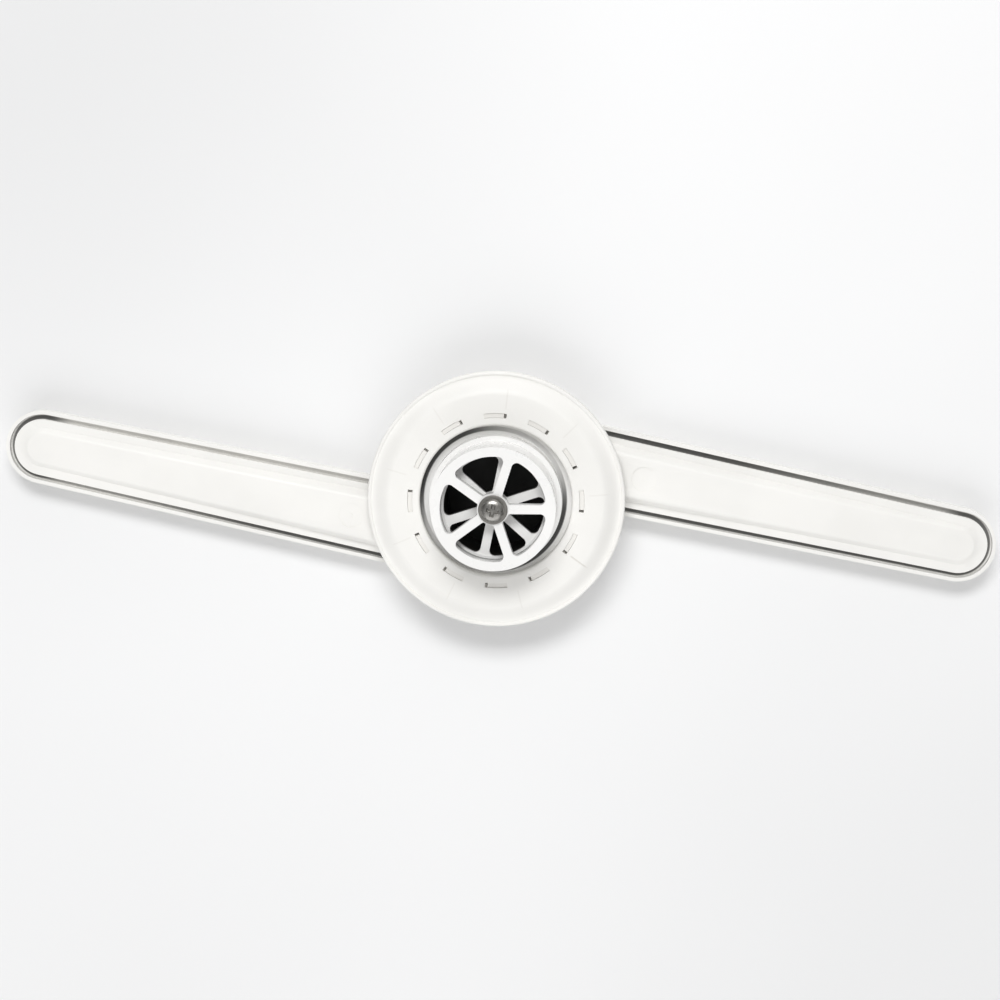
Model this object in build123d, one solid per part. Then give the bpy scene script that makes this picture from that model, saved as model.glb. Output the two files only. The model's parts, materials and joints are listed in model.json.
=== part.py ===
from build123d import *
from math import atan2, degrees
import os

# Two-armed spray arm of a dishwasher, lying on its jet face with the inlet hub up.
# Millimetres. +Z is the spin axis, +X runs along the arms, and the origin lies on the
# spin axis in the face that the arm rests on. Angles are in degrees from +X.

# Arms in plan, over the flange where the two shells meet
arm_reach = 230.0  # spin axis to the end of an arm, along X
arm_offset = 22.6  # arm centreline to the spin axis, one arm to each side
arm_width_at_hub = 40.4  # abreast of the spin axis
arm_width_at_tip = 34.4  # across the round end
chamber_radius = 52.0  # round chamber below the collar that feeds both arms
root_fillet = 3.0  # inner corner where an arm leaves the chamber

# Shell walls and the welded joint between the shells
wall = 2.0
jet_shell_depth = 9.5  # rest face to the face that the shells meet on
flange_thickness = 2.0
flash_lip_width = 1.7  # upright lip round the flange
flash_lip_height = 3.0
flash_groove_width = 2.3  # gap between the lip and the inlet shell, which takes the weld flash
base_edge_bevel = 2.0

# Inlet shell above the joint
shoulder_height = 3.0  # joint to the level ledge along the shell's edge
ledge_width_at_hub = 2.5
ledge_width_at_tip = 4.0
plateau_rise_at_hub = 9.5  # joint to the raised flat, at the spin axis
plateau_rise_at_tip = 4.5
plateau_width_at_hub = 21.4
plateau_width_at_tip = 14.0
chamber_slope_run = 3.0  # how far the chamber's side leans in up to the flat
crease_radius = 2.0

# Gate mark on each arm: a shallow round dish with the stub of the gate in it
gate_mark_distance = 64.5  # along X from the spin axis
gate_mark_radius = 5.7
gate_mark_depth = 0.4
gate_stub_radius = 0.8

# Spray jets in the jet shell
jet_count = 5  # on each arm
jet_first_distance = 60.0
jet_pitch = 33.0
jet_dish_length = 14.0
jet_dish_width = 7.0
jet_dish_depth = 1.0
jet_slit_length = 9.0
jet_slit_width = 2.2
jet_lean = 15.0  # lean of the jets, which drives the spin

# Collar
collar_radius = 59.2
collar_bore_radius = 35.0
collar_rise = 9.0  # raised flat of the inlet shell to the collar's face
collar_wall = 2.0
collar_flat_radius = 50.0  # where the brim starts to fall away
brim_drop = 3.3
lip_width = 1.6
lip_rise = 0.7
skirt_clearance = 0.8  # foot of the skirt to the arms
bore_edge_bevel = 1.2
collar_rib_count = 9
collar_rib_thickness = 1.6
collar_rib_angle = 15.5
collar_rib_gap = 0.8  # foot of a rib to the foot of the skirt

# Slots in the collar and the tongues that lock into them
slot_count = 12
slot_angle = 12.0  # middle of the first slot
slot_span = 15.0
slot_width = 2.2
slot_radius = 39.5  # middle of the slot
tongue_span = 13.2
tongue_clearance = 0.1
tongue_recess = 0.5  # end of a tongue below the collar's face

# Journal spider, fixed to the arms
journal_bore_radius = 22.9
journal_radius = 26.0
journal_seat_clearance = 0.1
journal_foot = 2.0  # how far the tube reaches past the inlet shell's wall
spider_flange_thickness = 2.0
spider_flange_margin = 1.0  # flange beyond the tongues
rear_spoke_count = 6
rear_spoke_width = 4.1
rear_spoke_depth = 5.0
rear_spoke_angle = 30.0
rear_spoke_recess = 0.5  # spokes below the tube's rim
rear_boss_radius = 6.9
rear_boss_depth = 12.0  # boss behind the front of the spokes, round the screw

# Inlet bush, which stays still in the water feed
bush_protrusion = 23.0  # collar's face to the front of the bush
bush_radius = 28.2
bush_bore_radius = 24.0
bush_base_radius = 30.4
bush_shoulder_rise = 2.0  # shoulder that the water feed seats on, above the collar's face
front_spoke_count = 5
front_spoke_width = 4.1
front_spoke_depth = 5.0
front_spoke_angle = 12.0
front_boss_radius = 7.2
rim_overlap = 8.3  # front of the bush to the top of the hidden journal
spoke_rim_radius = 2.4  # rounded corner where a spoke meets the rim
spoke_boss_radius = 0.9  # and where it meets the boss

# Running fits between the bush and the spider
journal_clearance = 0.3
post_radius = 4.6
post_clearance = 0.08
axial_clearance = 0.3

# Screw and washer
washer_radius = 6.6
washer_thickness = 0.8
screw_radius = 2.5
screw_length = 14.0
screw_head_radius = 5.1
screw_head_height = 3.2
screw_head_edge = 1.4
screw_head_flat_radius = 3.4
recess_length = 5.0
recess_width = 1.1
recess_depth = 1.6
pilot_clearance = 0.05

# Heights that follow from the sizes above
joint_height = jet_shell_depth
shoulder_top = joint_height + shoulder_height
plateau_height = joint_height + plateau_rise_at_hub
plateau_tip_height = joint_height + plateau_rise_at_tip
collar_face_height = plateau_height + collar_rise
flange_top = plateau_height + spider_flange_thickness
bush_front_height = collar_face_height + bush_protrusion
bush_foot_height = flange_top + axial_clearance
journal_top = bush_front_height - rim_overlap
front_boss_foot = bush_front_height - front_spoke_depth
rear_boss_top = front_boss_foot - axial_clearance
post_top = bush_front_height + axial_clearance
washer_top = post_top + washer_thickness

# Plan sizes that follow
tip_radius = arm_width_at_tip / 2
tip_distance = arm_reach - tip_radius
shell_inset = flash_lip_width + flash_groove_width
slot_inner_radius = slot_radius - slot_width / 2
slot_outer_radius = slot_radius + slot_width / 2
spider_flange_radius = slot_outer_radius + spider_flange_margin
slope_foot_at_hub = arm_width_at_hub / 2 - shell_inset - ledge_width_at_hub
slope_foot_at_tip = tip_radius - shell_inset - ledge_width_at_tip
plateau_slope = (plateau_height - plateau_tip_height) / tip_distance


def disc(radius, bottom, top):
    """Plain round solid about the spin axis between two heights."""
    return extrude(Pos(0, 0, bottom) * Circle(radius), top - bottom)


def ring(inner_radius, outer_radius, bottom, top):
    """Plain ring about the spin axis between two heights."""
    section = Circle(outer_radius) - Circle(inner_radius)
    return extrude(Pos(0, 0, bottom) * section, top - bottom)


def ring_sector(inner_radius, outer_radius, bottom, top, start_angle, span):
    """Part of a ring that starts at an angle and turns on by a span."""
    middle = (inner_radius + outer_radius) / 2
    section = Pos(middle, (bottom + top) / 2) * Rectangle(outer_radius - inner_radius, top - bottom)
    return Rot(0, 0, start_angle) * revolve(Plane.XZ * section, Axis.Z, span)


def both_arms(piece):
    """A piece of the +X arm together with its copy, half a turn on, for the other arm."""
    return piece + Rot(0, 0, 180) * piece


def tapered_strip(hub_radius, end_radius):
    """Strip along +X that narrows from one round end at the hub to another at the tip."""
    ends = Circle(hub_radius).edges() + (Pos(tip_distance, 0) * Circle(end_radius)).edges()
    return make_hull(ends)


def arm_strip(inset):
    """Plan of the +X arm with its edges moved in by an inset."""
    return Pos(0, arm_offset) * tapered_strip(arm_width_at_hub / 2 - inset, tip_radius - inset)


def plan_outline(inset):
    """Plan of the chamber and both arms with the edges moved in by an inset."""
    radius = chamber_radius - inset
    seam_angle = degrees(atan2(arm_offset, radius))
    outline = both_arms(arm_strip(inset)) + Rot(0, 0, seam_angle) * Circle(radius)
    corners = [v for v in outline.vertices() if abs(v.center().length - radius) < wall / 10]
    return fillet(corners, root_fillet + inset)


def slab(inset, bottom, top):
    """The whole plan, moved in by an inset, between two heights."""
    return extrude(Pos(0, 0, bottom) * plan_outline(inset), top - bottom)


def raised_arm(inset, drop, edge_radius):
    """Sloping sides and raised flat of the +X arm; the flat leans down towards the tip."""
    foot = tapered_strip(slope_foot_at_hub - inset, slope_foot_at_tip - inset)
    base = Pos(0, arm_offset, shoulder_top - drop) * foot
    flat = tapered_strip(plateau_width_at_hub / 2 - inset, plateau_width_at_tip / 2 - inset)
    lean = degrees(atan2(plateau_slope, 1))
    top = Pos(0, arm_offset, plateau_height - drop) * Rot(0, lean, 0) * flat
    solid = loft([base.face(), top.face()], ruled=True)
    if edge_radius:
        solid = fillet(solid.faces().sort_by(Axis.Z)[-1].edges(), edge_radius)
    return solid


def raised_chamber(inset, drop):
    """Leaning side and flat top of the chamber between the arms."""
    foot = chamber_radius - shell_inset - ledge_width_at_hub - inset
    lower = Pos(0, 0, shoulder_top - drop) * Circle(foot)
    upper = Pos(0, 0, plateau_height - drop) * Circle(foot - chamber_slope_run)
    return loft([lower, upper], ruled=True)


def inlet_body(inset, drop, edge_radius=0.0):
    """Outer form of the inlet shell, or of the hollow in it, above the joint."""
    arms = both_arms(raised_arm(inset, drop, edge_radius))
    edge = slab(shell_inset + inset, joint_height, shoulder_top - drop)
    return edge + arms + raised_chamber(inset, drop)


def gate_mark():
    """Shallow dish of the gate mark on the +X arm, round the stub that stands in it."""
    surface = plateau_height - plateau_slope * gate_mark_distance
    dish = disc(gate_mark_radius, -gate_mark_depth, gate_mark_depth)
    stub = disc(gate_stub_radius, -gate_mark_depth, 0)
    return Pos(gate_mark_distance, arm_offset, surface) * (dish - stub)


def inlet_shell():
    """Moulded half shell on the inlet side, with the seat of the journal in its middle."""
    shell = inlet_body(0, 0, crease_radius) - inlet_body(wall, wall)
    shell -= disc(chamber_radius, plateau_height, plateau_height + wall)
    shell -= disc(journal_radius + journal_seat_clearance, joint_height, plateau_height)
    return shell - both_arms(gate_mark())


def jet_places(arm):
    """Where the jets of an arm stand along it; the two arms interleave."""
    first = jet_first_distance + arm * jet_pitch / 2
    return [first + number * jet_pitch for number in range(jet_count)]


def jet_shell():
    """Moulded half shell with the spray jets, and the flange and lip of the welded joint."""
    flange_foot = joint_height - flange_thickness
    tray = slab(shell_inset, 0, flange_foot)
    base_edges = tray.faces().sort_by(Axis.Z)[0].edges()
    tray = chamfer(base_edges, base_edge_bevel)
    shell = tray + slab(0, flange_foot, joint_height + flash_lip_height)
    shell -= slab(flash_lip_width, joint_height, joint_height + flash_lip_height)
    shell -= slab(shell_inset + wall, wall, joint_height)
    dish = extrude(SlotOverall(jet_dish_length, jet_dish_width), jet_dish_depth)
    slit = extrude(Rectangle(jet_slit_length, jet_slit_width), 2 * wall, both=True)
    leaning_slit = Rot(jet_lean, 0, 0) * slit
    for arm in range(2):
        turn = Rot(0, 0, 180 * arm)
        for distance in jet_places(arm):
            place = turn * Pos(distance, arm_offset, 0)
            shell -= place * dish
            shell -= place * leaning_slit
    return shell


def collar_section():
    """Half section of the collar: bore wall, flat, hollow brim, lip and skirt."""
    face = collar_face_height
    under = face - collar_wall
    lip_inner = collar_radius - lip_width
    lip_foot = face - brim_drop
    lip_top = lip_foot + lip_rise
    skirt_foot = plateau_height + skirt_clearance
    skirt_inner = collar_radius - collar_wall
    bore_outer = collar_bore_radius + collar_wall
    outline = Polyline((bore_outer, flange_top), (collar_bore_radius, flange_top),
                       (collar_bore_radius, face), (collar_flat_radius, face),
                       (lip_inner, lip_foot), (collar_radius, lip_top), (collar_radius, skirt_foot),
                       (skirt_inner, skirt_foot), (skirt_inner, lip_foot - collar_wall),
                       (collar_flat_radius, under), (bore_outer, under), close=True)
    section = make_face(Plane.XZ * outline)
    bore_edge = section.vertices().sort_by_distance(Vector(collar_bore_radius, 0, face))[0]
    return chamfer(bore_edge, bore_edge_bevel)


def collar_rib():
    """Radial rib below the collar's flat and brim, from outside the tongues to the skirt."""
    inner = slot_outer_radius + collar_wall
    outer = collar_radius - collar_wall / 2
    top = collar_face_height - collar_wall / 2
    foot = plateau_height + skirt_clearance + collar_rib_gap
    outline = Polyline((inner, foot), (outer, foot), (outer, top - brim_drop),
                       (collar_flat_radius, top), (inner, top), close=True)
    blade = extrude(make_face(Plane.XZ * outline), collar_rib_thickness / 2, both=True)
    return Rot(0, 0, collar_rib_angle) * blade


def around(piece, count):
    """A piece and its copies, evenly spaced in a turn about the spin axis."""
    return [Rot(0, 0, number * 360 / count) * piece for number in range(count)]


def hub_collar():
    """Splash collar with its slots and the ribs below its face."""
    collar = revolve(collar_section(), Axis.Z)
    collar += around(collar_rib(), collar_rib_count)
    slot = ring_sector(slot_inner_radius, slot_outer_radius, collar_face_height - 2 * collar_wall,
                       collar_face_height + collar_wall, slot_angle - slot_span / 2, slot_span)
    return collar - around(slot, slot_count)


def spoke_openings(rim_radius, boss_radius, count, spoke_width, angle):
    """Openings between the spokes of a spider in plan, with rounded corners."""
    gaps = Circle(rim_radius) - Circle(boss_radius)
    spoke = Pos(rim_radius / 2, 0) * Rectangle(rim_radius + spoke_width, spoke_width)
    gaps -= around(spoke, count)
    middle = (rim_radius + boss_radius) / 2
    at_rim = [v for v in gaps.vertices() if v.center().length > middle]
    gaps = fillet(at_rim, spoke_rim_radius)
    at_boss = [v for v in gaps.vertices() if v.center().length < middle]
    return Rot(0, 0, angle) * fillet(at_boss, spoke_boss_radius)


def spoked_web(rim_radius, boss_radius, count, spoke_width, angle, bottom, top):
    """Spokes between a boss and the wall just outside the rim radius."""
    openings = spoke_openings(rim_radius, boss_radius, count, spoke_width, angle)
    web = Circle(rim_radius + wall / 2) - openings
    return extrude(Pos(0, 0, bottom) * web, top - bottom)


def journal_spider():
    """Tube that the bush turns on, with six spokes, a centre post, a flange and the tongues."""
    spoke_top = journal_top - rear_spoke_recess
    tube_foot = plateau_height - wall - journal_foot
    tongue_start = slot_angle + slot_span / 2 - tongue_span
    tongue = ring_sector(slot_inner_radius + tongue_clearance, slot_outer_radius - tongue_clearance,
                         plateau_height, collar_face_height - tongue_recess, tongue_start, tongue_span)
    spider = ring(journal_bore_radius, journal_radius, tube_foot, journal_top)
    spider += ring(journal_bore_radius, spider_flange_radius, plateau_height, flange_top)
    spider += around(tongue, slot_count)
    spider += spoked_web(journal_bore_radius, rear_boss_radius, rear_spoke_count, rear_spoke_width,
                         rear_spoke_angle, spoke_top - rear_spoke_depth, spoke_top)
    spider += disc(rear_boss_radius, spoke_top - rear_boss_depth, rear_boss_top)
    spider += disc(post_radius, rear_boss_top, post_top)
    return spider - disc(screw_radius + pilot_clearance, washer_top - screw_length - wall, post_top)


def bush_section():
    """Half section of the bush's wall: front, spigot, shoulder, base and hidden counterbore."""
    counterbore = journal_radius + journal_clearance
    shelf = journal_top + axial_clearance
    shoulder = collar_face_height + bush_shoulder_rise
    outline = Polyline((bush_bore_radius, bush_front_height), (bush_radius, bush_front_height),
                       (bush_radius, shoulder), (bush_base_radius, shoulder),
                       (bush_base_radius, bush_foot_height), (counterbore, bush_foot_height),
                       (counterbore, shelf), (bush_bore_radius, shelf), close=True)
    return make_face(Plane.XZ * outline)


def inlet_bush():
    """Tube that plugs into the water feed, with five spokes and a bored boss at its front."""
    bush = revolve(bush_section(), Axis.Z)
    bush += spoked_web(bush_bore_radius, front_boss_radius, front_spoke_count, front_spoke_width,
                       front_spoke_angle, front_boss_foot, bush_front_height)
    return bush - disc(post_radius + post_clearance, front_boss_foot, bush_front_height)


def retaining_washer():
    """Flat washer that keeps the bush on the post."""
    return ring(screw_radius + pilot_clearance, washer_radius, post_top, washer_top)


def retaining_screw():
    """Screw with a domed head and a cross recess, which holds the washer on the post."""
    head_top = washer_top + screw_head_height
    outline = Polyline((0, head_top), (0, washer_top), (screw_head_radius, washer_top),
                       (screw_head_radius, washer_top + screw_head_edge),
                       (screw_head_flat_radius, head_top), close=True)
    screw = revolve(make_face(Plane.XZ * outline), Axis.Z)
    screw += disc(screw_radius, washer_top - screw_length, washer_top)
    cross = Rectangle(recess_length, recess_width) + Rectangle(recess_width, recess_length)
    return screw - extrude(Pos(0, 0, head_top - recess_depth) * cross, screw_head_height)


pieces = {
    "jet_shell": jet_shell,
    "inlet_shell": inlet_shell,
    "hub_collar": hub_collar,
    "journal_spider": journal_spider,
    "inlet_bush": inlet_bush,
    "retaining_washer": retaining_washer,
    "retaining_screw": retaining_screw,
}

os.makedirs("parts", exist_ok=True)
for name, make in pieces.items():
    export_step(make(), f"parts/{name}.step")
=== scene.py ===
import json
from math import cos, pi, radians, sin, tau

import bmesh
import bpy
import numpy as np
from mathutils import Matrix, Vector

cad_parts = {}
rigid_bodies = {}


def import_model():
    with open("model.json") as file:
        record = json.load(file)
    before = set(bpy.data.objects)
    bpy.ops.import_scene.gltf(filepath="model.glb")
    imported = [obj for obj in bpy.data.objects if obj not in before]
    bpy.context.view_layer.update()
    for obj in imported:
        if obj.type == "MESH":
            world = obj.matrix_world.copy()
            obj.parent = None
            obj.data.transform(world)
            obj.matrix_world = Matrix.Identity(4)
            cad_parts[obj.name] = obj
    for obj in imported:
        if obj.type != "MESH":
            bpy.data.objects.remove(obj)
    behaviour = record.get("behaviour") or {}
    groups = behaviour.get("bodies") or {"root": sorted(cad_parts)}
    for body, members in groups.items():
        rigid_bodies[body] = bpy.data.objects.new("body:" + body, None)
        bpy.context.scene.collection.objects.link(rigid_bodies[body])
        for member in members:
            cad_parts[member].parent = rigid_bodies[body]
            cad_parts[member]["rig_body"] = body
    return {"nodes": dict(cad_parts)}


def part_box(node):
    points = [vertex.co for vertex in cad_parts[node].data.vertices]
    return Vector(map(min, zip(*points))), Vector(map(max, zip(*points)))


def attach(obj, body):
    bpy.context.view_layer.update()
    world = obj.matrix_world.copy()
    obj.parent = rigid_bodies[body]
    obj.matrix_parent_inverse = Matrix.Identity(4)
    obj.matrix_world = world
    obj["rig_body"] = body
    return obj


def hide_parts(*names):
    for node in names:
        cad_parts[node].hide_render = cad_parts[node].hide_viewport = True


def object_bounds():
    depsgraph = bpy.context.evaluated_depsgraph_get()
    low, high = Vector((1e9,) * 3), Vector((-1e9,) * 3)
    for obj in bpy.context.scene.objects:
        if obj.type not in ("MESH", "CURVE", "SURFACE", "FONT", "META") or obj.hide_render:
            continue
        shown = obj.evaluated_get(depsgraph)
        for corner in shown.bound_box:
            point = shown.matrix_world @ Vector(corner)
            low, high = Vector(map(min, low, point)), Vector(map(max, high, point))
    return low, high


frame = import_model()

cad_low, cad_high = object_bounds()

# Lengths are in millimetres, as in the part's source, and become metres where a mesh or lamp is made
mm = 0.001


def node_box(node):
    """Lowest and highest corner of a CAD node, in millimetres."""
    low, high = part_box(node)
    return low / mm, high / mm


# Sizes read from the frame
collar_low, collar_high = node_box("hub_collar")
screw_low, screw_high = node_box("retaining_screw")
washer_low, washer_high = node_box("retaining_washer")
bush_foot = node_box("inlet_bush")[0].z
arm_reach = node_box("jet_shell")[1].x
collar_face = collar_high.z
collar_radius = collar_high.x

# Sizes shared with the part's source
arm_offset = 22.6
arm_width_at_hub = 40.4
arm_width_at_tip = 34.4
flash_lip_width = 1.7
shell_inset = 4.0
joint_height = 9.5
shoulder_top = 12.5
collar_bore_radius = 35.0
collar_wall = 2.0
collar_flat_radius = 50.0
brim_drop = 3.3
lip_width = 1.6
lip_rise = 0.7
bore_edge_radius = 1.2  # a bevel of that size there
rib_count = 9
rib_angle = 15.5
rib_thickness = 1.6
rib_gap = 0.8
slot_count = 12
slot_angle = 12.0
slot_span = 15.0
slot_width = 2.2
slot_radius = 39.5
axial_clearance = 0.3
screw_radius = 2.5
pilot_clearance = 0.05
recess_length = 5.0
recess_width = 1.1
recess_depth = 1.6

# Sizes worked out from those
collar_under = collar_face - collar_wall
flange_top = bush_foot - axial_clearance
slot_inner_radius = slot_radius - slot_width / 2
slot_outer_radius = slot_radius + slot_width / 2
rib_spacing = 360 / rib_count
arm_half_at_hub = arm_width_at_hub / 2
arm_half_at_tip = arm_width_at_tip / 2
arm_end_centre = arm_reach - arm_half_at_tip

# Roundings and fineness of the collar
collar_steps = 360
brim_points = 22
brim_run_in = 1.2  # start of the brim's fall, inside the edge of the flat
lip_run_in = 0.2  # end of the brim's fall, inside the lip
lip_start = 140.0  # angle where the lip's arc leaves the brim
bore_foot_edge = 0.3
bore_under_edge = 0.5
skirt_edge = 0.4
small_arc_points = 4
edge_arc_points = 5
bore_arc_points = 9
lip_arc_points = 11

# Screw: domed head, cross recess and thread
screw_steps = 144
dome_points = 70
dome_span = (0.02, 0.995)  # shares of the head's radius
dome_power = 2.3
head_side = 1.3  # upright side under the dome
head_edge = 0.3
recess_slope = 0.35
thread_points = 150
thread_pitch = 0.9
thread_depth = 0.35
thread_start = 0.6  # below the head
thread_end = 0.4  # above the tip
tip_length = 1.5
tip_share = 0.35  # share of the screw's radius that is left at the tip

# Washer
washer_steps = 96
washer_edge = 0.2

# Finish of the edges, and what counts as a crease, as flat and as one point
shell_edge = 0.35
edge_steps = 3
crease_angle = radians(33.0)
flat_angle = radians(0.3)
merge_distance = 0.001

# In the masks below, a pair is the start and end of a smooth passage, unless its own comment says otherwise

# Painted shade in the groove between the flash lip and the inlet shell: how dark it is, and what is taken off
# where it fades
groove_strength = 0.82
groove_left_fade = 0.72
groove_outer_fade = 0.42
groove_narrowing = (60.0, arm_end_centre)  # along the arm
groove_line_start = (flash_lip_width + 0.1, flash_lip_width + 0.6)  # inset of its outer edge, at hub and tip
groove_outer_edge = (-0.25, 0.35)  # about that inset
groove_inner_edge = (shell_inset - 0.05, shell_inset + 0.25)
groove_depth = (shoulder_top - 0.1, joint_height + 0.8)
groove_bottom = (joint_height - 0.6, joint_height - 0.3)
left_arm = (-20.0, -60.0)
before_tip = (arm_end_centre, arm_end_centre - 12.0)
outer_stretch = (90.0, 190.0)
one_side = (0.0, 6.0)  # across the arm
other_side = (0.0, -6.0)

# Painted shade: a dark line at the foot of the gap round the bush
gap_line_centre = (-1.45, -0.56)  # x and y
gap_line_radius = 33.0
gap_line_width = 2.0
gap_line_edge = (gap_line_width / 2 - 0.3, gap_line_width / 2 + 0.4)
gap_line_depth = (collar_face - 1.5, collar_face - 3.5)
gap_line_side = radians(155.0)  # side where it is strongest, and again opposite
gap_line_swing = (-1.0, 0.7)  # cosine of twice the angle from that side
gap_line_strong = 0.95
gap_line_weak = 0.3

# Painted shade on the deep inside of the hub, by moulding: its radius, and the heights where light ends and
# full dark starts
shell_depth = {"Bore Radius": 27.0, "Lit": 19.2, "Dark": 18.6}
bush_depth = {"Bore Radius": 24.2, "Lit": 50.0, "Dark": 42.0}
spider_depth = {"Bore Radius": 26.5, "Lit": 42.0, "Dark": 39.0}

# Sink marks on the collar over its ribs
mark_edge = (0.15, 0.55)
mark_inner_end = (42.0, 43.5)
mark_outer_end = (50.0, 53.0)
mark_faint = 0.3
clear_mark_angle = rib_angle - rib_spacing
clear_mark_reach = (8.0, 12.0)
mark_height = (collar_face - 2.5, collar_face - 1.5)

# Moulded skin: sizes of its grain and clouds, and how far they go
grain_size = 0.5
cloud_size = 40.0
gloss_fineness = 4.0  # patches of gloss in one cloud
cloud_detail = 3.0
grain_detail = 2.0
gloss_detail = 4.0
gloss_roughness = 0.6
cloud_passage = (0.35, 0.65)
gloss_passage = (0.3, 0.7)
plastic_paler = 1.015
plastic_deeper = 0.975
plastic_gloss_swing = (-0.05, 0.06)
plastic_grain_height = 0.04
arm_grain = 0.25
hub_grain = 0.12
arm_roughness = 0.45
collar_roughness = 0.5
bush_roughness = 0.3
spider_roughness = 0.35

# Steel
steel_grain_size = 0.25
steel_cloud_size = 6.0
steel_deeper = 0.75
steel_gloss_swing = (-0.06, 0.08)
steel_bump = 0.15
steel_bump_height = 0.03
turning_marks = 22.0  # radians of the marks' wave in one millimetre
turning_share = 0.3
screw_roughness = 0.3
washer_roughness = 0.4

# Camera: it looks down on the hub, a little from the far side, and is turned about its own line of sight
image_width_px = 1000
camera_distance = 1.1
camera_target = Vector((0.0017, -0.0004, 0.020))
camera_tilt = radians(9.85)  # line of sight away from straight down
camera_azimuth = radians(84.2)  # side that the camera leans to, counted from +X
camera_roll = radians(11.74)  # how far the arms slope down to the right in the picture
camera_focal_px = 2385.0
sensor_width_mm = 36.0

# Light levels, in shares of the light that shows a colour as written; places and sizes in metres
sky_level = 0.50
sky_slant = 0.85  # how much brighter the sky is over the flanks than over the ends of the arms
key_level = 0.40
fill_level = 0.22
key_place = Vector((-0.30, 1.10, 1.6))
fill_place = Vector((0.15, -1.5, 1.4))
key_size = (1.0, 0.5)
fill_size = (2.6, 1.6)

# Floor: painted shade greys it towards the corners of the picture, given as places on it with the share of
# light left there
floor_half = 4.0  # metres
floor_corner_shade = {
    (-277.0, 182.0): 0.84,
    (-182.0, -277.0): 0.96,
    (277.0, -182.0): 0.92,
    (182.0, 277.0): 0.98,
}
floor_corner_passage = (30.0, 340.0)
floor_cloud_size = 300.0
floor_cloud_passage = (0.3, 0.7)
floor_cloud_share = (0.98, 1.0)
floor_roughness = 0.9
floor_specular = 0.2

# Colours, linear
arm_white = (0.905, 0.895, 0.865, 1.0)
collar_white = (0.895, 0.885, 0.855, 1.0)
bush_white = (0.93, 0.925, 0.91, 1.0)
# Painted shade: near black put in the arms' groove, the deep hub and the gap round the bush
painted_shade_dark = (0.012, 0.012, 0.010, 1.0)
mark_grey = (0.74, 0.72, 0.68, 1.0)
# Painted shade: the tongues in the collar's slots greyed
tongue_shade_white = (0.84, 0.825, 0.79, 1.0)
steel_grey = (0.37, 0.36, 0.34, 1.0)
# Painted shade: the washer's steel darker than the screw's, for the shade round the head
washer_shaded_grey = (0.30, 0.29, 0.27, 1.0)
floor_white = (0.945, 0.947, 0.95, 1.0)
black = (0.0, 0.0, 0.0, 1.0)


def linked(name, data):
    """New object with that data in the scene."""
    made = bpy.data.objects.new(name, data)
    bpy.context.scene.collection.objects.link(made)
    return made


def stand_in(name, mesh, node, material):
    """Smooth object of a mesh, sharp at its creases, that stands for a CAD node on the node's own body."""
    mesh.polygons.foreach_set("use_smooth", np.ones(len(mesh.polygons), bool))
    mesh.set_sharp_from_angle(angle=crease_angle)
    mesh.materials.clear()
    mesh.materials.append(material)
    made = linked(name, mesh)
    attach(made, frame["nodes"][node]["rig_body"])
    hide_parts(node)
    return made


# Surfaces


def arc(centre, radius, start, end, points):
    """Points of a circle in the section plane, from a start angle to an end angle in degrees."""
    angle = np.radians(np.linspace(start, end, points))
    return np.stack([centre[0] + radius * np.cos(angle), centre[1] + radius * np.sin(angle)], axis=-1)


def ring_quads(rows, columns, closed_columns):
    """Corner numbers of the quads of a grid whose rows close on themselves.

    Point (i, j) has the number i * columns + j.
    """
    last = columns if closed_columns else columns - 1
    i, j = np.meshgrid(np.arange(rows), np.arange(last), indexing="ij")
    over = (i + 1) % rows
    along = (j + 1) % columns
    corners = [i * columns + j, i * columns + along, over * columns + along, over * columns + j]
    return np.stack(corners, axis=-1)


def turned(section, start, steps):
    """Section of (radius, height) turned about the spin axis in steps of equal angle.

    Point (i, j) is section point j after i steps: x and y are its radius times cosine and sine of the angle.
    """
    turn = np.radians(start) + np.arange(steps) * tau / steps
    radius, height = section.T
    x = np.outer(np.cos(turn), radius)
    y = np.outer(np.sin(turn), radius)
    return np.stack([x, y, np.broadcast_to(height, x.shape)], axis=-1).reshape(-1, 3)


def surface(name, points, faces, node, material):
    """Stand-in for a CAD node, from points in millimetres and the corner numbers of its faces."""
    mesh = bpy.data.meshes.new(name)
    mesh.from_pydata(points * mm, [], faces)
    stand_in(name, mesh, node, material)


def smooth_step(share):
    """Rises from 0 to 1 with level ends: 3 t^2 - 2 t^3."""
    return share * share * (3 - 2 * share)


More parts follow.
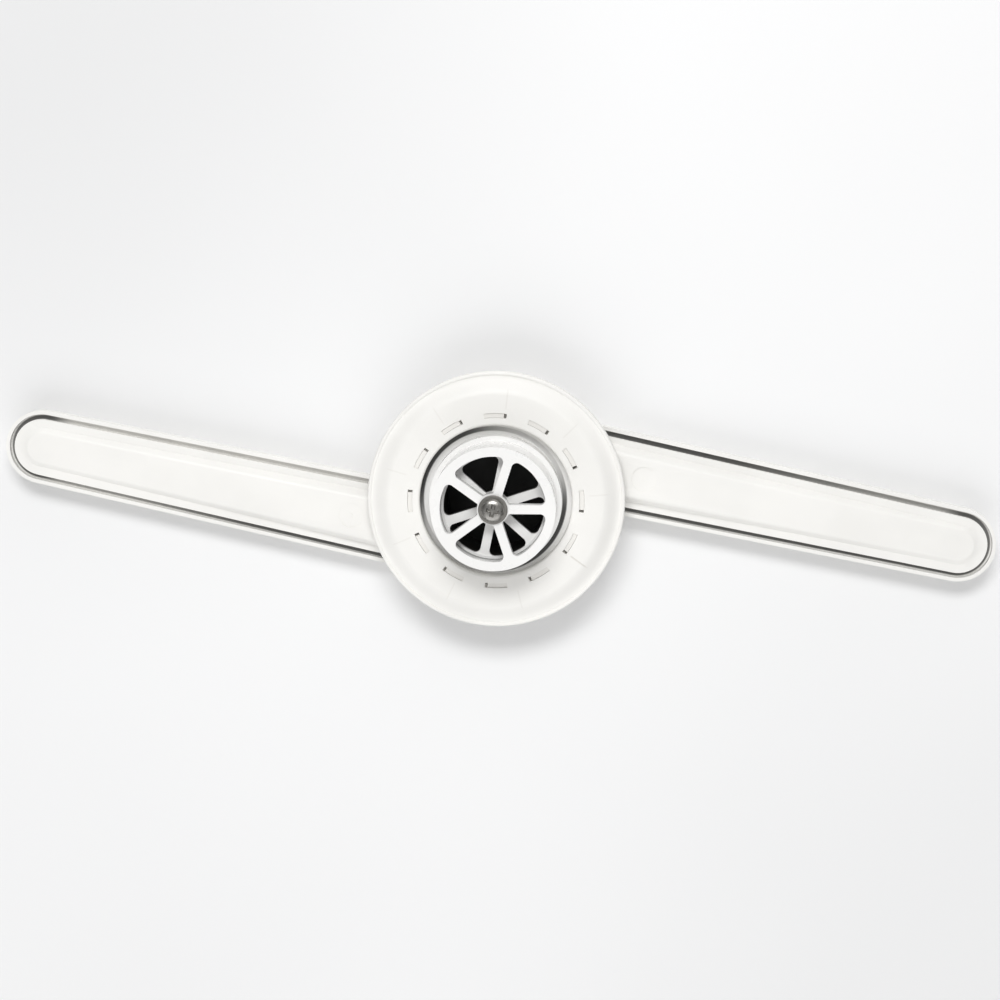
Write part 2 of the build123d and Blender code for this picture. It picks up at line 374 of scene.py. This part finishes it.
def collar_section():
    """Closed section of the collar: bore wall, rounded bore edge, flat, hollow brim, rolled lip and skirt.

    The brim falls by a smooth step of the distance from the flat to the lip. Its underside falls by as much.
    """
    foot = collar_low.z
    bore = collar_bore_radius
    bore_outer = bore + collar_wall
    skirt_inner = collar_radius - collar_wall
    share = np.linspace(0, 1, brim_points)
    brim_start = collar_flat_radius - brim_run_in
    lip_foot = collar_radius - lip_width - lip_run_in
    fall = brim_drop * smooth_step(share)
    brim = np.stack([brim_start + (lip_foot - brim_start) * share, collar_face - fall], axis=-1)
    brim_under = np.stack([brim_start + (skirt_inner - brim_start) * share, collar_under - fall], axis=-1)
    slot_edges = np.array([slot_inner_radius, slot_outer_radius])
    slot_top = np.stack([slot_edges, np.full(2, collar_face)], axis=-1)
    slot_under = np.stack([slot_edges, np.full(2, collar_under)], axis=-1)
    lip = lip_width / 2
    lip_height = collar_face - brim_drop + lip_rise - lip
    edge = bore_edge_radius
    foot_edge = bore_foot_edge
    under_edge = bore_under_edge
    return np.concatenate([
        arc((bore + foot_edge, flange_top + foot_edge), foot_edge, 270, 180, small_arc_points),
        arc((bore + edge, collar_face - edge), edge, 180, 90, bore_arc_points),
        slot_top,
        brim,
        arc((collar_radius - lip, lip_height), lip, lip_start, 0, lip_arc_points),
        arc((collar_radius - skirt_edge, foot + skirt_edge), skirt_edge, 0, -90, edge_arc_points),
        arc((skirt_inner + skirt_edge, foot + skirt_edge), skirt_edge, 270, 180, edge_arc_points),
        brim_under[::-1],
        slot_under[::-1],
        arc((bore_outer + under_edge, collar_under - under_edge), under_edge, 90, 180, edge_arc_points),
        arc((bore_outer - foot_edge, flange_top + foot_edge), foot_edge, 0, -90, small_arc_points),
    ])


def collar_ribs():
    """Upright ribs under the face: one outline, given its thickness and repeated round the spin axis.

    A point, so far out along its rib and so far aside of the rib's middle, is turned by the rib's angle.
    Gives the points and the corner numbers of walls and caps.
    """
    inner = slot_outer_radius + collar_wall
    outer = collar_radius - collar_wall / 2
    top = collar_face - collar_wall / 2
    foot = collar_low.z + rib_gap
    outline = np.array([
        (inner, foot),
        (outer, foot),
        (outer, top - brim_drop),
        (collar_flat_radius, top),
        (inner, top),
    ])
    turn = np.radians(rib_angle + np.arange(rib_count) * rib_spacing)[:, None, None]
    out = outline[:, 0][None, None, :]
    aside = np.array([-rib_thickness / 2, rib_thickness / 2])[None, :, None]
    x = out * np.cos(turn) - aside * np.sin(turn)
    y = out * np.sin(turn) + aside * np.cos(turn)
    z = np.broadcast_to(outline[:, 1], x.shape)
    points = np.stack([x, y, z], axis=-1).reshape(-1, 3)
    corners = len(outline)
    j = np.arange(corners)
    ahead = (j + 1) % corners
    wall = np.stack([j, ahead, corners + ahead, corners + j], axis=-1)
    first = np.arange(rib_count) * 2 * corners
    walls = (wall[None] + first[:, None, None]).reshape(-1, 4)
    caps = np.concatenate([j[None, ::-1] + first[:, None], corners + j[None] + first[:, None]])
    return points, walls, caps


def splash_collar(material):
    """Turned collar section with its slots left out of the grid and walled from face to underside."""
    section = collar_section()
    count = len(section)
    points = turned(section, slot_angle - slot_span / 2, collar_steps)
    quads = ring_quads(collar_steps, count, True)
    slot_pitch = collar_steps // slot_count
    slot_steps = round(slot_span / 360 * collar_steps)
    in_slot = np.arange(collar_steps) % slot_pitch < slot_steps
    top_inner, under_inner = np.flatnonzero(np.isclose(section[:, 0], slot_inner_radius))
    top_outer, under_outer = np.flatnonzero(np.isclose(section[:, 0], slot_outer_radius))
    keep = np.ones(quads.shape[:2], bool)
    keep[np.ix_(in_slot, [top_inner, under_outer])] = False
    row = np.flatnonzero(in_slot)
    here = row * count
    ahead = (row + 1) % collar_steps * count
    inner_wall = [here + top_inner, here + under_inner, ahead + under_inner, ahead + top_inner]
    outer_wall = [here + top_outer, ahead + top_outer, ahead + under_outer, here + under_outer]
    first = np.arange(slot_count)[:, None] * slot_pitch
    ends = np.array([top_inner, top_outer, under_outer, under_inner])
    start_wall = first * count + ends
    end_wall = (first + slot_steps) * count + ends[::-1]
    walls = [np.stack(inner_wall, axis=-1), np.stack(outer_wall, axis=-1), start_wall, end_wall]
    rib_points, rib_walls, rib_caps = collar_ribs()
    faces = np.concatenate([quads[keep], *walls, rib_walls + len(points)]).tolist()
    faces += (rib_caps + len(points)).tolist()
    points = np.concatenate([points, rib_points])
    surface("splash_collar", points, faces, "hub_collar", material)


def pan_head_screw(material):
    """Screw as one grid of height over angle and radius, with a point at each end.

    Head: z falls with the radius as (1 - r^p)^(1/p), less a cross-shaped recess with sloping walls.
    Shank: the radius swings between root and crest once a pitch and climbs a pitch each turn.
    """
    head_radius = screw_high.x
    seat = washer_high.z
    top = screw_high.z
    length = seat - screw_low.z
    turn = np.arange(screw_steps) * tau / screw_steps
    share = np.linspace(*dome_span, dome_points)
    rise = (top - seat - head_side) * (1 - share ** dome_power) ** (1 / dome_power)
    radius = head_radius * share
    x = np.outer(np.cos(turn), radius)
    y = np.outer(np.sin(turn), radius)
    lesser = np.minimum(abs(x), abs(y))
    greater = np.maximum(abs(x), abs(y))
    across = np.clip((recess_width / 2 + recess_slope - lesser) / recess_slope, 0, 1)
    along = np.clip((recess_length / 2 + recess_slope - greater) / recess_slope, 0, 1)
    head_z = seat + head_side + rise - recess_depth * smooth_step(across) * smooth_step(along)
    rim_r = np.array([head_radius, head_radius, head_radius - head_edge, screw_radius])
    rim_z = np.array([seat + head_side, seat + head_edge, seat, seat])
    drop = np.linspace(thread_start, length - thread_end, thread_points)
    phase = np.mod(drop[None, :] / thread_pitch + turn[:, None] / tau, 1.0)
    taper = np.clip((length - drop) / tip_length, tip_share, 1.0)
    shank_r = screw_radius * taper - thread_depth * abs(2 * phase - 1)
    shank_z = np.broadcast_to(seat - drop, shank_r.shape)
    head_r = np.broadcast_to(radius, x.shape)
    radii = np.concatenate([head_r, np.tile(rim_r, (screw_steps, 1)), shank_r], axis=1)
    heights = np.concatenate([head_z, np.tile(rim_z, (screw_steps, 1)), shank_z], axis=1)
    columns = radii.shape[1]
    grid = np.stack([radii * np.cos(turn)[:, None], radii * np.sin(turn)[:, None], heights], axis=-1)
    grid = grid.reshape(-1, 3)
    poles = np.array([(0, 0, top - recess_depth), (0, 0, screw_low.z)])
    here = np.arange(screw_steps) * columns
    ahead = (np.arange(screw_steps) + 1) % screw_steps * columns
    top_fan = np.stack([np.full(screw_steps, len(grid)), here, ahead], axis=-1)
    last = columns - 1
    tip_fan = np.stack([np.full(screw_steps, len(grid) + 1), ahead + last, here + last], axis=-1)
    quads = ring_quads(screw_steps, columns, False).reshape(-1, 4)
    faces = quads.tolist() + top_fan.tolist() + tip_fan.tolist()
    points = np.concatenate([grid, poles])
    surface("pan_head_screw", points, faces, "retaining_screw", material)


def round_washer(material):
    """Flat ring with rounded edges: a section of four quarter circles turned about the spin axis."""
    edge = washer_edge
    inner = screw_radius + pilot_clearance + edge
    outer = washer_high.x - edge
    low = washer_low.z + edge
    high = washer_high.z - edge
    section = np.concatenate([
        arc((inner, low), edge, 270, 180, small_arc_points),
        arc((inner, high), edge, 180, 90, small_arc_points),
        arc((outer, high), edge, 90, 0, small_arc_points),
        arc((outer, low), edge, 0, -90, small_arc_points),
    ])
    points = turned(section, 0, washer_steps)
    faces = ring_quads(washer_steps, len(section), True).reshape(-1, 4).tolist()
    surface("round_washer", points, faces, "retaining_washer", material)


def moulding(node, material):
    """Smooth copy of a CAD node, with its points merged and its flat faces joined."""
    work = bmesh.new()
    work.from_mesh(frame["nodes"][node].data)
    bmesh.ops.remove_doubles(work, verts=work.verts, dist=merge_distance * mm)
    bmesh.ops.dissolve_limit(work, angle_limit=flat_angle, verts=work.verts, edges=work.edges)
    mesh = bpy.data.meshes.new(node + "_moulding")
    work.to_mesh(mesh)
    work.free()
    return stand_in(node + "_moulding", mesh, node, material)


def rounded(made, edge):
    """Sharp edges of a moulding rounded off."""
    rounding = made.modifiers.new("rounded_edges", "BEVEL")
    rounding.width = edge * mm
    rounding.segments = edge_steps
    rounding.limit_method = "ANGLE"
    rounding.angle_limit = crease_angle
    rounding.harden_normals = True


def evened(made):
    """Shading of a moulding that follows its large faces, so that narrow ones beside them stay clean."""
    made.modifiers.new("even_shading", "WEIGHTED_NORMAL").keep_sharp = True


# Shader parts: helpers that take sockets or plain values, add nodes and give what comes out of them


def feed(tree, value, socket):
    """Link an output socket to an input, or write a plain value on it."""
    if isinstance(value, bpy.types.NodeSocket):
        tree.links.new(value, socket)
    else:
        socket.default_value = value


def calc(tree, operation, *values):
    """Result of a Math node."""
    node = tree.nodes.new("ShaderNodeMath")
    node.operation = operation
    for value, socket in zip(values, node.inputs):
        feed(tree, value, socket)
    return node.outputs[0]


def product(tree, *values):
    """All the values multiplied."""
    result = values[0]
    for value in values[1:]:
        result = calc(tree, "MULTIPLY", result, value)
    return result


def ramp(tree, value, passage, low=0.0, high=1.0):
    """Smooth change from low to high while the value goes through the passage, a pair of start and end."""
    node = tree.nodes.new("ShaderNodeMapRange")
    node.interpolation_type = "SMOOTHSTEP"
    start, end = passage
    labels = ("Value", "From Min", "From Max", "To Min", "To Max")
    for label, given in zip(labels, (value, start, end, low, high)):
        feed(tree, given, node.inputs[label])
    return node.outputs[0]


def blend(tree, share, first, second):
    """Colour that goes from the first to the second as the share goes from 0 to 1."""
    node = tree.nodes.new("ShaderNodeMix")
    node.data_type = "RGBA"
    shown = {socket.name: socket for socket in node.inputs if socket.enabled}
    feed(tree, share, shown["Factor"])
    feed(tree, first, shown["A"])
    feed(tree, second, shown["B"])
    return next(socket for socket in node.outputs if socket.enabled)


def noise(tree, place, scale, detail=2.0, roughness=0.5):
    """Cloudy value about one half."""
    node = tree.nodes.new("ShaderNodeTexNoise")
    feed(tree, place, node.inputs["Vector"])
    feed(tree, scale, node.inputs["Scale"])
    node.inputs["Detail"].default_value = detail
    node.inputs["Roughness"].default_value = roughness
    return node.outputs["Fac"]


def place_in_mm(tree):
    """Object coordinates in millimetres."""
    node = tree.nodes.new("ShaderNodeVectorMath")
    node.operation = "SCALE"
    feed(tree, tree.nodes.new("ShaderNodeTexCoord").outputs["Object"], node.inputs[0])
    node.inputs["Scale"].default_value = 1 / mm
    return node.outputs[0]


def split(tree, vector):
    """The three parts of a vector."""
    node = tree.nodes.new("ShaderNodeSeparateXYZ")
    feed(tree, vector, node.inputs[0])
    return node.outputs


def distance(tree, x, y, centre=(0.0, 0.0)):
    """Distance from an upright line: the root of the squares of x and y from its place."""
    across = calc(tree, "POWER", calc(tree, "SUBTRACT", x, centre[0]), 2.0)
    along = calc(tree, "POWER", calc(tree, "SUBTRACT", y, centre[1]), 2.0)
    return calc(tree, "SQRT", calc(tree, "ADD", across, along))


def new_group(name, inputs, outputs):
    """Empty shader node group with numbers in and out under the given names; also gives its two ends."""
    tree = bpy.data.node_groups.new(name, "ShaderNodeTree")
    for label, value in inputs:
        tree.interface.new_socket(label, in_out="INPUT", socket_type="NodeSocketFloat").default_value = value
    for label in outputs:
        tree.interface.new_socket(label, in_out="OUTPUT", socket_type="NodeSocketFloat")
    return tree, tree.nodes.new("NodeGroupInput").outputs, tree.nodes.new("NodeGroupOutput").inputs


# Effects: node groups that the materials take, each with its own values


def moulded_skin():
    """Slow tone clouds, fine grain for the bump and patches of more and less gloss."""
    inputs = [("Grain Size", grain_size), ("Cloud Size", cloud_size)]
    tree, given, out = new_group("moulded_skin", inputs, ["Tone", "Grain", "Gloss"])
    place = place_in_mm(tree)
    cloud_scale = calc(tree, "DIVIDE", 1.0, given["Cloud Size"])
    grain_scale = calc(tree, "DIVIDE", 1.0, given["Grain Size"])
    gloss_scale = calc(tree, "DIVIDE", gloss_fineness, given["Cloud Size"])
    feed(tree, noise(tree, place, cloud_scale, cloud_detail), out["Tone"])
    feed(tree, noise(tree, place, grain_scale, grain_detail), out["Grain"])
    feed(tree, noise(tree, place, gloss_scale, gloss_detail, gloss_roughness), out["Gloss"])
    return tree


def painted_groove_shade():
    """Mask of painted shade in the groove between the flash lip and the inlet shell, darkest at its floor.

    On either arm u runs along it from the spin axis and v across it. The inset from the flange's edge is the
    distance in from the straight, slightly tapering side, or from the round end beyond the end's centre.
    """
    inputs = [("Strength", groove_strength), ("Far Side Left", groove_left_fade)]
    tree, given, out = new_group("painted_groove_shade", inputs, ["Shade"])
    x, y, z = split(tree, place_in_mm(tree))
    u = calc(tree, "ABSOLUTE", x)
    v = calc(tree, "SUBTRACT", product(tree, calc(tree, "SIGN", x), y), arm_offset)
    taper = (arm_half_at_hub - arm_half_at_tip) / arm_end_centre
    half_width = calc(tree, "MULTIPLY_ADD", u, -taper, arm_half_at_hub)
    from_side = calc(tree, "SUBTRACT", half_width, calc(tree, "ABSOLUTE", v))
    past_centre = calc(tree, "MAXIMUM", calc(tree, "SUBTRACT", u, arm_end_centre), 0.0)
    from_end = calc(tree, "SUBTRACT", arm_half_at_tip, distance(tree, past_centre, v))
    at_end = calc(tree, "GREATER_THAN", u, arm_end_centre)
    inset = calc(tree, "MULTIPLY_ADD", at_end, calc(tree, "SUBTRACT", from_end, from_side), from_side)
    line_start = ramp(tree, u, groove_narrowing, *groove_line_start)
    outer_edge = ramp(tree, calc(tree, "SUBTRACT", inset, line_start), groove_outer_edge)
    inner_edge = ramp(tree, inset, groove_inner_edge, 1.0, 0.0)
    depth = product(tree, ramp(tree, z, groove_depth), ramp(tree, z, groove_bottom))
    # Where the painted shade fades: on one side of the left arm short of its tip, and towards the ends on the
    # other side of each arm
    short_of_tip = ramp(tree, u, before_tip)
    left_side = product(tree, ramp(tree, x, left_arm), short_of_tip, ramp(tree, v, other_side))
    outer_side = product(tree, ramp(tree, u, outer_stretch, 0.0, groove_outer_fade), ramp(tree, v, one_side))
    left_fade = product(tree, left_side, given["Far Side Left"])
    fade = calc(tree, "MAXIMUM", left_fade, product(tree, outer_side, short_of_tip))
    strength = calc(tree, "SUBTRACT", given["Strength"], fade)
    feed(tree, product(tree, outer_edge, inner_edge, depth, strength), out["Shade"])
    return tree


def painted_hub_shade():
    """Mask of painted shade on the deep inside of the hub, between the heights where the light ends and where
    it is dark.
    """
    tree, given, out = new_group("painted_hub_shade", bush_depth.items(), ["Shade"])
    x, y, z = split(tree, place_in_mm(tree))
    inside = calc(tree, "LESS_THAN", distance(tree, x, y), given["Bore Radius"])
    feed(tree, product(tree, inside, ramp(tree, z, (given["Lit"], given["Dark"]))), out["Shade"])
    return tree


def painted_gap_shade():
    """Mask of a painted shade line at the foot of the gap round the bush: a ring a little off the spin axis.

    The painted shade is strongest on two opposite sides: its strength swings with the cosine of twice the
    angle from them.
    """
    inputs = [("Strong", gap_line_strong), ("Weak", gap_line_weak)]
    tree, given, out = new_group("painted_gap_shade", inputs, ["Shade"])
    x, y, z = split(tree, place_in_mm(tree))
    off_line = calc(tree, "SUBTRACT", distance(tree, x, y, gap_line_centre), gap_line_radius)
    line = ramp(tree, calc(tree, "ABSOLUTE", off_line), gap_line_edge, 1.0, 0.0)
    twice = calc(tree, "MULTIPLY_ADD", calc(tree, "ARCTAN2", y, x), 2.0, -2 * gap_line_side)
    strength = ramp(tree, calc(tree, "COSINE", twice), gap_line_swing, given["Weak"], given["Strong"])
    feed(tree, product(tree, line, ramp(tree, z, gap_line_depth), strength), out["Shade"])
    return tree


def sink_marks():
    """Mask of the faint lines on the collar over its ribs, which stand at equal angles; one of them is clear.

    Across a line the offset is the radius times the sine of the angle to the nearest rib.
    """
    tree, given, out = new_group("sink_marks", [("Faint", mark_faint)], ["Shade"])
    x, y, z = split(tree, place_in_mm(tree))
    radius = distance(tree, x, y)
    angle = calc(tree, "DEGREES", calc(tree, "ARCTAN2", y, x))
    from_start = calc(tree, "ADD", angle, rib_spacing / 2 - rib_angle)
    in_spacing = calc(tree, "FLOORED_MODULO", from_start, rib_spacing)
    from_rib = calc(tree, "RADIANS", calc(tree, "SUBTRACT", in_spacing, rib_spacing / 2))
    aside = product(tree, radius, calc(tree, "ABSOLUTE", calc(tree, "SINE", from_rib)))
    line = ramp(tree, aside, mark_edge, 1.0, 0.0)
    span = product(tree, ramp(tree, radius, mark_inner_end), ramp(tree, radius, mark_outer_end, 1.0, 0.0))
    from_clear = calc(tree, "ABSOLUTE", calc(tree, "SUBTRACT", angle, clear_mark_angle))
    strength = calc(tree, "MAXIMUM", ramp(tree, from_clear, clear_mark_reach, 1.0, 0.0), given["Faint"])
    feed(tree, product(tree, line, span, strength, ramp(tree, z, mark_height)), out["Shade"])
    return tree


def painted_tongue_shade():
    """Mask of the ring of tongues that stand in the collar's slots, greyed there as painted shade."""
    tree, given, out = new_group("painted_tongue_shade", [("Start", slot_radius - slot_width)], ["Shade"])
    x, y = split(tree, place_in_mm(tree))[:2]
    feed(tree, calc(tree, "GREATER_THAN", distance(tree, x, y), given["Start"]), out["Shade"])
    return tree


effects = (moulded_skin, painted_groove_shade, painted_hub_shade, painted_gap_shade, sink_marks, painted_tongue_shade)
groups = {effect.__name__: effect() for effect in effects}


# Materials


def placed(tree, group, values):
    """Outputs of a group put into a material with its own values."""
    node = tree.nodes.new("ShaderNodeGroup")
    node.node_tree = groups[group]
    for label, value in values.items():
        node.inputs[label].default_value = value
    return node.outputs


def new_material(name):
    """Material with nodes; also gives its node tree and the inputs of its shader."""
    material = bpy.data.materials.new(name)
    material.use_nodes = True
    return material, material.node_tree, material.node_tree.nodes["Principled BSDF"].inputs


def toned(colour, share):
    """Colour with each part times the share, at most 1."""
    return tuple(min(1.0, part * share) for part in colour[:3]) + (1.0,)


def bumped(tree, shader, relief, strength, height):
    """Relief put on the surface, of a height in millimetres."""
    node = tree.nodes.new("ShaderNodeBump")
    node.inputs["Strength"].default_value = strength
    node.inputs["Distance"].default_value = height * mm
    feed(tree, relief, node.inputs["Height"])
    feed(tree, node.outputs["Normal"], shader["Normal"])


def uneven_gloss(tree, skin, shader, roughness, swing):
    """Roughness that swings about its mean with the skin's patches of gloss."""
    rough = ramp(tree, skin["Gloss"], gloss_passage, roughness + swing[0], roughness + swing[1])
    feed(tree, rough, shader["Roughness"])


def moulded_plastic(name, colour, roughness, grain, recesses):
    """Moulded white plastic: tone clouds, grain and uneven gloss.

    Each recess is a mask's group, the group's own values and the colour that the mask brings; most of them
    are painted shade.
    """
    material, tree, shader = new_material(name)
    skin = placed(tree, "moulded_skin", {})
    clouds = ramp(tree, skin["Tone"], cloud_passage)
    tone = blend(tree, clouds, toned(colour, plastic_deeper), toned(colour, plastic_paler))
    for group, values, recess_colour in recesses:
        tone = blend(tree, placed(tree, group, values)["Shade"], tone, recess_colour)
    feed(tree, tone, shader["Base Color"])
    uneven_gloss(tree, skin, shader, roughness, plastic_gloss_swing)
    bumped(tree, shader, skin["Grain"], grain, plastic_grain_height)
    return material


def turned_steel(name, colour, roughness):
    """Stainless steel with fine turning marks, a sine of the radius, and slightly uneven gloss."""
    material, tree, shader = new_material(name)
    x, y = split(tree, place_in_mm(tree))[:2]
    marks = calc(tree, "SINE", product(tree, distance(tree, x, y), turning_marks))
    skin = placed(tree, "moulded_skin", {"Grain Size": steel_grain_size, "Cloud Size": steel_cloud_size})
    clouds = ramp(tree, skin["Tone"], cloud_passage)
    feed(tree, blend(tree, clouds, toned(colour, steel_deeper), colour), shader["Base Color"])
    uneven_gloss(tree, skin, shader, roughness, steel_gloss_swing)
    shader["Metallic"].default_value = 1.0
    relief = calc(tree, "ADD", product(tree, marks, turning_share), skin["Grain"])
    bumped(tree, shader, relief, steel_bump, steel_bump_height)
    return material


arm_plastic = moulded_plastic("arm_plastic", arm_white, arm_roughness, arm_grain, [
    ("painted_groove_shade", {}, painted_shade_dark),
    ("painted_hub_shade", shell_depth, painted_shade_dark),
])
collar_plastic = moulded_plastic("collar_plastic", collar_white, collar_roughness, arm_grain, [
    ("painted_gap_shade", {}, painted_shade_dark),
    ("sink_marks", {}, mark_grey),
])
bush_plastic = moulded_plastic("bush_plastic", bush_white, bush_roughness, hub_grain, [
    ("painted_hub_shade", bush_depth, painted_shade_dark),
])
spider_plastic = moulded_plastic("spider_plastic", bush_white, spider_roughness, hub_grain, [
    ("painted_tongue_shade", {}, tongue_shade_white),
    ("painted_hub_shade", spider_depth, painted_shade_dark),
    ("painted_gap_shade", {}, painted_shade_dark),
])
screw_steel = turned_steel("screw_steel", steel_grey, screw_roughness)
washer_steel = turned_steel("washer_steel", washer_shaded_grey, washer_roughness)

# Pieces
for node in ("jet_shell", "inlet_shell"):
    rounded(moulding(node, arm_plastic), shell_edge)
evened(moulding("journal_spider", spider_plastic))
evened(moulding("inlet_bush", bush_plastic))
splash_collar(collar_plastic)
pan_head_screw(screw_steel)
round_washer(washer_steel)


# Stage


def aimed(place, target, up):
    """World matrix of a camera or lamp whose -Z axis points at a target, with +Y as near to up as can be."""
    back = (place - target).normalized()
    right = up.cross(back).normalized()
    over = back.cross(right)
    axes = Matrix((right, over, back)).transposed().to_4x4()
    return Matrix.Translation(place) @ axes


def pale_paper():
    """Pale paper with a faint cloud, greyed towards the corners of the picture by painted shade."""
    material, tree, shader = new_material("pale_floor")
    place = place_in_mm(tree)
    x, y = split(tree, place)[:2]
    share = ramp(tree, noise(tree, place, 1 / floor_cloud_size), floor_cloud_passage, *floor_cloud_share)
    for corner, left in floor_corner_shade.items():
        grey = ramp(tree, distance(tree, x, y, corner), floor_corner_passage, left, 1.0)
        share = product(tree, share, grey)
    feed(tree, blend(tree, share, black, floor_white), shader["Base Color"])
    shader["Roughness"].default_value = floor_roughness
    shader["Specular IOR Level"].default_value = floor_specular
    return material


def pale_floor():
    """One square of paper under the part."""
    mesh = bpy.data.meshes.new("floor")
    corners = np.array([(-1, -1), (1, -1), (1, 1), (-1, 1)]) * floor_half
    mesh.from_pydata(np.column_stack([corners, np.full(len(corners), cad_low.z)]), [], [(0, 1, 2, 3)])
    mesh.materials.append(pale_paper())
    linked("floor", mesh)


def studio_sky():
    """Even sky, brighter over the arms' flanks and darker over their ends: 1 + slant (y^2 - x^2)."""
    world = bpy.data.worlds.new("studio")
    bpy.context.scene.world = world
    world.use_nodes = True
    tree = world.node_tree
    sky = tree.nodes["Background"].inputs
    sky["Strength"].default_value = sky_level
    x, y = split(tree, tree.nodes.new("ShaderNodeTexCoord").outputs["Generated"])[:2]
    slant = calc(tree, "SUBTRACT", calc(tree, "POWER", y, 2.0), calc(tree, "POWER", x, 2.0))
    feed(tree, calc(tree, "MULTIPLY_ADD", slant, sky_slant, 1.0), sky["Color"])


def softbox(name, place, size, level):
    """Flat lamp aimed at the hub, with the power that lights the hub to a level: level pi^2 d^2 / cosine."""
    lamp = bpy.data.lights.new(name, "AREA")
    lamp.shape = "RECTANGLE"
    lamp.size, lamp.size_y = size
    away = place - camera_target
    lamp.energy = level * pi * pi * away.length ** 2 / away.normalized().z
    linked(name, lamp).matrix_world = aimed(place, camera_target, Vector((0, 0, 1)))


def photo_camera():
    """Camera at the photograph's viewing angle."""
    lens = bpy.data.cameras.new("camera")
    lens.sensor_width = sensor_width_mm
    lens.lens = camera_focal_px / image_width_px * sensor_width_mm
    lean = sin(camera_tilt)
    sight = Vector((lean * cos(camera_azimuth), lean * sin(camera_azimuth), cos(camera_tilt)))
    picture_up = Vector((-sin(camera_roll), cos(camera_roll), 0.0))
    camera = linked("camera", lens)
    camera.matrix_world = aimed(camera_target + camera_distance * sight, camera_target, picture_up)
    bpy.context.scene.camera = camera


pale_floor()
studio_sky()
softbox("key", key_place, key_size, key_level)
softbox("fill", fill_place, fill_size, fill_level)
photo_camera()
bpy.context.scene.view_settings.view_transform = "Standard"
